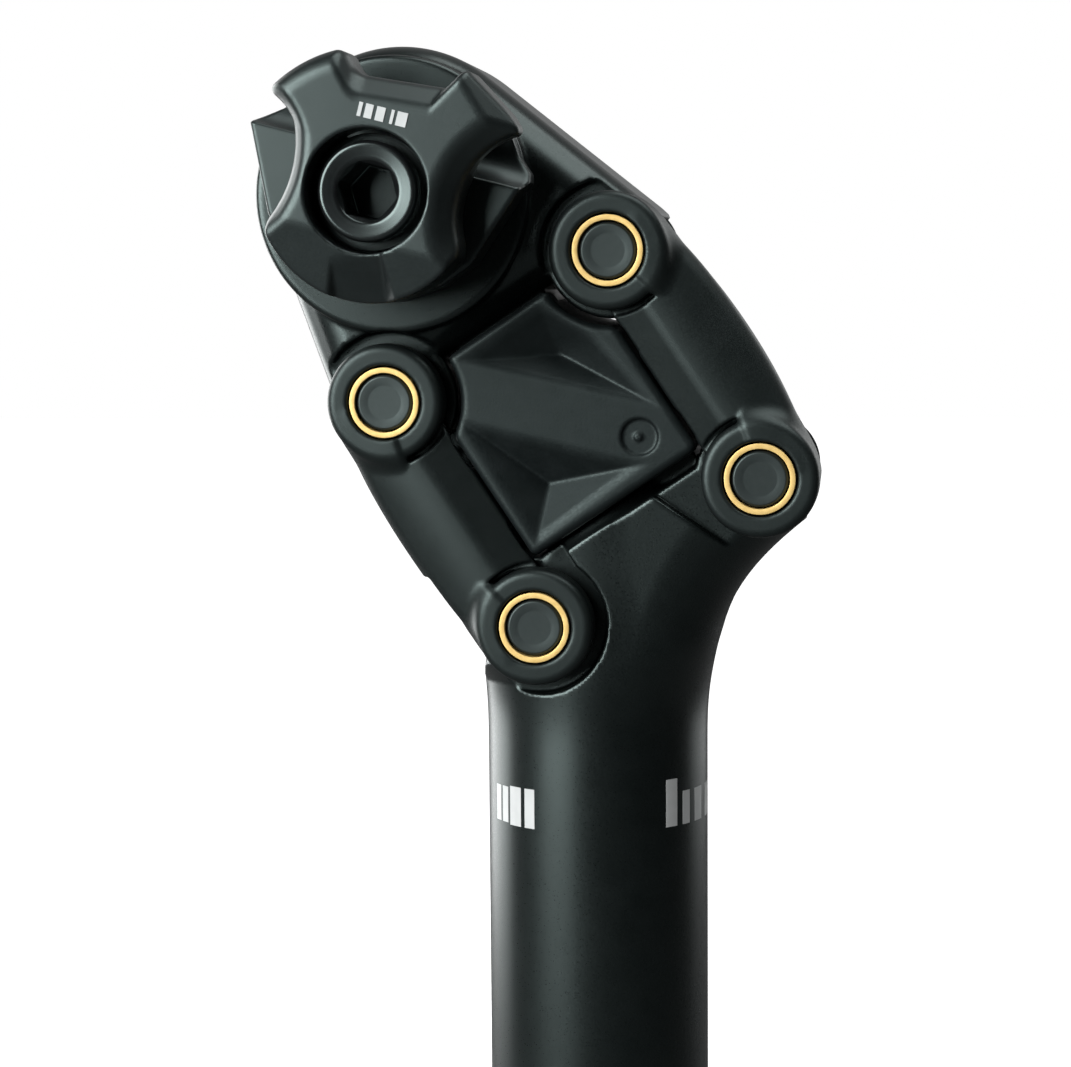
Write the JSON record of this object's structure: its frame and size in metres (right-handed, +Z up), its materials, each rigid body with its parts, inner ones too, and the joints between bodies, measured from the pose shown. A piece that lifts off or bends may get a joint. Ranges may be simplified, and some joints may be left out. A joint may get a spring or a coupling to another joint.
{
  "type": "suspension seatpost",
  "caption": "Suspension seatpost: tube with a parallelogram linkage, an elastomer block spring between the links and a side-loading saddle rail clamp.",
  "frame": {"origin": "centre of the post's lower end", "axes": "+X forward on the bicycle, +Y to the rider's left, +Z up along the post"},
  "size_m": [0.0671, 0.061, 0.3597],
  "materials": {
    "anodised_post": "satin black anodised",
    "anodised_link": "satin black anodised",
    "clamp_alloy": "semi-gloss black anodised",
    "elastomer": "matte moulded",
    "black_steel": "gloss black plated",
    "pin_steel": "satin black oxide",
    "bronze": "turned",
    "polymer": "matte"
  },
  "bodies": {
    "post": {"post_tube": "anodised_post", "post_yoke": "anodised_post", "pivot_pin_lower_front": "pin_steel", "pivot_pin_lower_rear": "pin_steel"},
    "front_link_body": {"front_link": "anodised_link", "bushing_lower_front_left": "bronze", "bushing_lower_front_right": "bronze", "bushing_upper_front_left": "bronze", "bushing_upper_front_right": "bronze", "thrust_washer_lower_front_left": "polymer", "thrust_washer_lower_front_right": "polymer", "thrust_washer_upper_front_left": "polymer", "thrust_washer_upper_front_right": "polymer"},
    "rear_link_body": {"rear_link": "anodised_link", "bushing_lower_rear_left": "bronze", "bushing_lower_rear_right": "bronze", "bushing_upper_rear_left": "bronze", "bushing_upper_rear_right": "bronze", "thrust_washer_lower_rear_left": "polymer", "thrust_washer_lower_rear_right": "polymer", "thrust_washer_upper_rear_left": "polymer", "thrust_washer_upper_rear_right": "polymer"},
    "head_body": {"seat_head": "anodised_post", "pivot_pin_upper_front": "pin_steel", "pivot_pin_upper_rear": "pin_steel"},
    "spring_body": {"elastomer_spring": "elastomer"},
    "cradle_body": {"inner_cradle_left": "clamp_alloy", "inner_cradle_right": "clamp_alloy"},
    "cap_right_body": {"outer_cap_right": "clamp_alloy", "clamp_washer_right": "black_steel"},
    "bolt_body": {"clamp_bolt": "black_steel"},
    "cap_left_body": {"outer_cap_left": "clamp_alloy", "clamp_washer_left": "black_steel", "clamp_nut": "black_steel"}
  },
  "joints": [
    {"name": "linkage_compression", "type": "hinge", "parent": "post", "child": "front_link_body", "pos_m": [0.02088, 0, 0.30853], "axis": [0, -1, 0], "range_deg": [0, 35], "stiffness_Nm_per_rad": 12, "springref_deg": -17.19},
    {"name": "rear_link_swing", "type": "hinge", "parent": "post", "child": "rear_link_body", "pos_m": [-0.00577, 0, 0.29082], "axis": [0, -1, 0], "range_deg": [0, 35]},
    {"name": "head_level", "type": "hinge", "parent": "front_link_body", "child": "head_body", "pos_m": [0.00317, 0, 0.33518], "axis": [0, 1, 0], "range_deg": [0, 35]},
    {"name": "elastomer_squeeze", "type": "hinge", "parent": "post", "child": "spring_body", "pos_m": [-0.00577, 0, 0.29082], "axis": [0, -1, 0], "range_deg": [0, 17.5], "deforming": ["elastomer_spring"]},
    {"name": "saddle_tilt", "type": "hinge", "parent": "head_body", "child": "cradle_body", "pos_m": [-0.0226, 0, 0.3419], "axis": [0, -1, 0], "range_deg": [-15, 15]},
    {"name": "right_cap_slide", "type": "slide", "parent": "cradle_body", "child": "cap_right_body", "axis": [0, -1, 0], "range_m": [0, 0.004]},
    {"name": "left_cap_slide", "type": "slide", "parent": "cradle_body", "child": "cap_left_body", "axis": [0, 1, 0], "range_m": [0, 0.004]},
    {"name": "bolt_turn", "type": "hinge", "parent": "cap_right_body", "child": "bolt_body", "pos_m": [-0.0226, -0.0293, 0.3419], "axis": [0, -1, 0], "continuous": true}
  ],
  "couplings": [
    {"joint": "rear_link_swing", "follows": "linkage_compression", "ratio": 1},
    {"joint": "head_level", "follows": "linkage_compression", "ratio": 1},
    {"joint": "elastomer_squeeze", "follows": "linkage_compression", "ratio": 0.5},
    {"joint": "left_cap_slide", "follows": "right_cap_slide", "ratio": 1}
  ]
}
